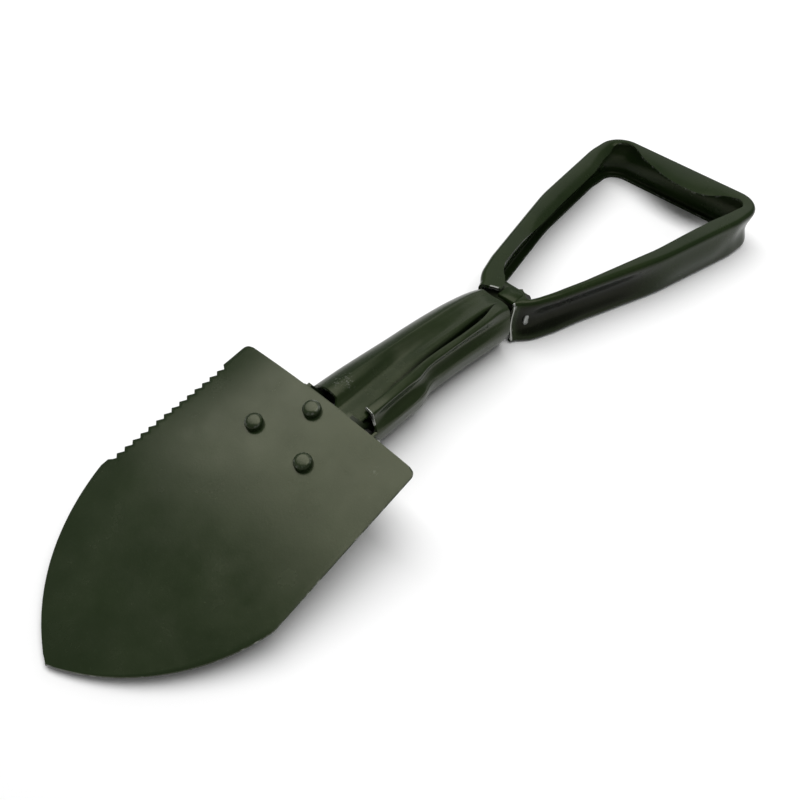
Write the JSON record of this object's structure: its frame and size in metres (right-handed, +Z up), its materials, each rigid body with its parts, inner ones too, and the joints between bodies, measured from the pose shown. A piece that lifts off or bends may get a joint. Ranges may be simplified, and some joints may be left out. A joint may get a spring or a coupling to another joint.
{
  "type": "folding camp shovel",
  "caption": "Small folding camp shovel with a serrated round-point blade, rolled steel shaft, spring-loaded fold lock and pressed steel D-handle.",
  "frame": {"origin": "under the middle of the open shovel's length and width, on the surface it lies on", "axes": "+Y from the blade's tip to the grip, +Z up off the table, +X to the right when looking from the blade to the grip"},
  "size_m": [0.1052, 0.4077, 0.0383],
  "materials": {
    "blade_paint": "satin olive enamel, worn to bare steel at the edges",
    "shaft_paint": "semi-gloss olive enamel over rolled sheet steel",
    "handle_paint": "semi-gloss olive enamel over pressed sheet steel",
    "bracket_paint": "dark olive enamel",
    "rivet_paint": "olive enamel, thicker round the heads",
    "zinc_steel": "bare peened steel",
    "plain_steel": "plain cold-rolled steel, lightly oiled",
    "hardened_steel": "hardened steel",
    "spring_steel": "drawn spring wire"
  },
  "bodies": {
    "shaft": {"shaft_tube": "shaft_paint", "hinge_pin": "zinc_steel", "hinge_spacers": "zinc_steel", "front_guide": "plain_steel", "rear_guide": "plain_steel", "lock_spring": "spring_steel"},
    "blade": {"blade": "blade_paint", "blade_rivets": "rivet_paint", "hinge_bracket": "bracket_paint", "lock_cam": "hardened_steel"},
    "lock": {"lock_bar": "plain_steel", "lock_nose": "hardened_steel", "nose_rivet": "zinc_steel", "spring_collar": "plain_steel", "collar_pin": "zinc_steel", "bar_yoke": "bracket_paint", "yoke_rivets": "zinc_steel"},
    "handle": {"handle_frame": "handle_paint", "handle_pin": "zinc_steel", "handle_washers": "zinc_steel"}
  },
  "joints": [
    {"name": "blade_fold", "type": "hinge", "parent": "shaft", "child": "blade", "pos_m": [0, -0.05802, 0.0145], "axis": [1, 0, 0], "range_deg": [0, 165]},
    {"name": "lock_slide", "type": "slide", "parent": "shaft", "child": "lock", "axis": [0, 1, 0], "range_m": [-0.0022, 0.004], "stiffness_N_per_m": 1500, "deforming": ["lock_spring"]},
    {"name": "handle_fold", "type": "hinge", "parent": "lock", "child": "handle", "pos_m": [0, 0.05398, 0.012], "axis": [-1, 0, 0], "range_deg": [0, 178.5]}
  ]
}
